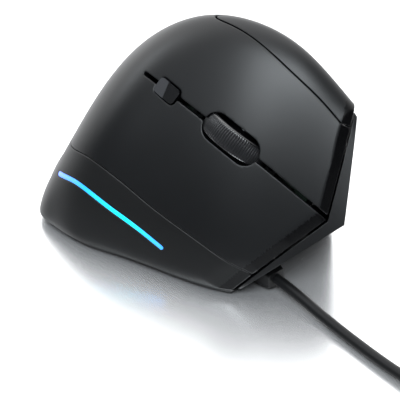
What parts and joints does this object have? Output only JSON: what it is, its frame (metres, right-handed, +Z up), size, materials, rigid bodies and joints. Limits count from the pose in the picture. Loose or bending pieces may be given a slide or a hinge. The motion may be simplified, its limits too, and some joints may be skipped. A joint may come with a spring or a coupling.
{
  "type": "vertical mouse",
  "caption": "Wired vertical mouse for the right hand: steep side with keys, ribbed wheel and slot button, thumb buttons, lit strip, chevron front, cable with coil and plug.",
  "frame": {"origin": "on the desk, under the middle of the mouse without its cable", "axes": "+Z up, +Y forward to where the cable leaves, +X to the finger side"},
  "size_m": [0.0683, 0.2401, 0.0738],
  "materials": {
    "upper_plastic": "satin",
    "lower_plastic": "satin",
    "bezel_plastic": "satin",
    "band_plastic": "semi gloss",
    "button_plastic": "semi gloss",
    "tyre_rubber": "matt",
    "wheel_gloss": "polished",
    "strip_clear": "translucent, lit",
    "skate_ptfe": "waxy",
    "inner_plastic": "matt",
    "board_green": "solder mask",
    "switch_black": "matt",
    "socket_white": "matt",
    "lens_clear": "clear",
    "steel": "zinc plated",
    "cable_jacket": "satin",
    "plug_metal": "nickel plated"
  },
  "bodies": {
    "root": {"thumb_shell": "upper_plastic", "side_skirt": "lower_plastic", "palm_cover": "upper_plastic", "front_bezel": "bezel_plastic", "light_guide": "strip_clear", "base_plate": "band_plastic", "front_skate": "skate_ptfe", "rear_skate": "skate_ptfe", "base_screws": "steel", "key_frame": "inner_plastic", "key_board": "board_green", "key_switches": "switch_black", "wheel_encoder": "switch_black", "middle_switch": "switch_black", "dpi_switch": "switch_black", "thumb_board": "board_green", "thumb_switches": "switch_black", "main_board": "board_green", "board_screws": "steel", "sensor_lens": "lens_clear", "sensor_chip": "switch_black", "cable_socket": "socket_white", "light_board": "board_green", "strip_leds": "socket_white", "strain_relief": "cable_jacket", "inner_lead": "cable_jacket", "harness": "inner_plastic", "harness_plugs": "socket_white", "cable": "cable_jacket", "cable_coil": "cable_jacket", "cable_tail": "cable_jacket", "cable_tie": "tyre_rubber", "usb_grip": "cable_jacket", "usb_shell": "plug_metal", "usb_tongue": "switch_black"},
    "left_key": {"left_key": "upper_plastic"},
    "right_key": {"right_key": "upper_plastic"},
    "wheel_carrier": {"wheel_carrier": "inner_plastic"},
    "wheel": {"wheel_hub": "wheel_gloss", "wheel_tyre": "tyre_rubber", "wheel_axle": "steel"},
    "dpi_button": {"dpi_button": "button_plastic"},
    "forward_button": {"forward_button": "button_plastic"},
    "back_button": {"back_button": "button_plastic"}
  },
  "joints": [
    {"name": "left_key_press", "type": "hinge", "parent": "root", "child": "left_key", "pos_m": [0.00124, -0.01889, 0.05471], "axis": [-0.5796, 0.485, 0.6549], "range_deg": [0, 0.5], "stiffness_Nm_per_rad": 4.5, "springref_deg": -0.17},
    {"name": "right_key_press", "type": "hinge", "parent": "root", "child": "right_key", "pos_m": [0.00124, -0.01889, 0.05471], "axis": [-0.5948, 0.2815, 0.753], "range_deg": [0, 0.5], "stiffness_Nm_per_rad": 4.5, "springref_deg": -0.17},
    {"name": "wheel_press", "type": "slide", "parent": "root", "child": "wheel_carrier", "axis": [-0.8039, -0.2083, -0.5572], "range_m": [0, 0.0006], "stiffness_N_per_m": 900, "springref_m": -0.0006},
    {"name": "wheel_spin", "type": "hinge", "parent": "wheel_carrier", "child": "wheel", "pos_m": [-0.00156, 0.01657, 0.0419], "axis": [-0.5948, 0.2815, 0.753], "continuous": true},
    {"name": "dpi_press", "type": "slide", "parent": "root", "child": "dpi_button", "axis": [-0.794, -0.0592, -0.6051], "range_m": [0, 0.0006], "stiffness_N_per_m": 700, "springref_m": -0.0005},
    {"name": "forward_button_press", "type": "slide", "parent": "root", "child": "forward_button", "axis": [1, 0, 0], "range_m": [0, 0.0006], "stiffness_N_per_m": 700, "springref_m": -0.0005},
    {"name": "back_button_press", "type": "slide", "parent": "root", "child": "back_button", "axis": [1, 0, 0], "range_m": [0, 0.0006], "stiffness_N_per_m": 700, "springref_m": -0.0005}
  ]
}
